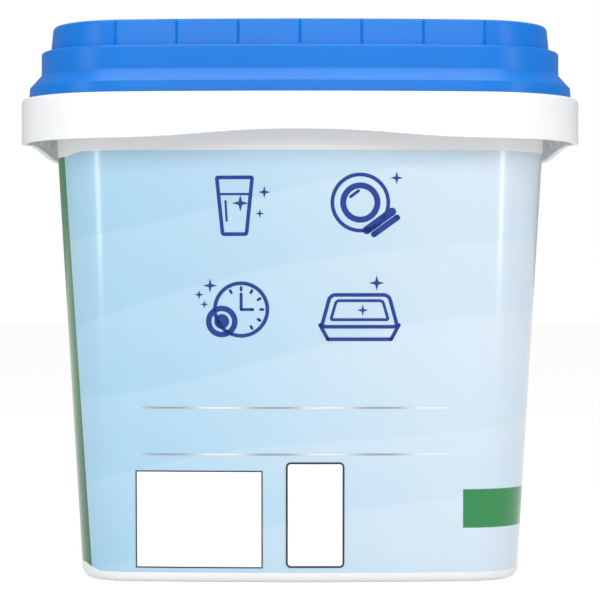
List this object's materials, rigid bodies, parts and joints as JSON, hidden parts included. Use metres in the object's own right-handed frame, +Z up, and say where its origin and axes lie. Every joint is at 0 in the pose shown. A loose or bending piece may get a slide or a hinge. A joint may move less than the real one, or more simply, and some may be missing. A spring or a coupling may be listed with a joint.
{
  "type": "dishwasher tablet tub",
  "caption": "Square moulded tub with rounded corners, a grip skirt and a press-on stepped lid that lifts straight off.",
  "frame": {"origin": "centre of the foot, at the surface that the tub stands on", "axes": "+Z up through the lid, -Y towards the printed side panel, -X towards the green end panel"},
  "size_m": [0.183, 0.183, 0.1748],
  "materials": {
    "white_pp": "moulded polypropylene, satin gloss",
    "printed_film": "printed in-mould film, glossy",
    "blue_pp": "moulded polypropylene, satin gloss"
  },
  "bodies": {
    "tub": {"tub": "white_pp", "label": "printed_film"},
    "lid": {"lid": "blue_pp"}
  },
  "joints": [
    {"name": "lid_lift", "type": "slide", "parent": "tub", "child": "lid", "axis": [0, 0, 1], "range_m": [0, 0.08]}
  ]
}
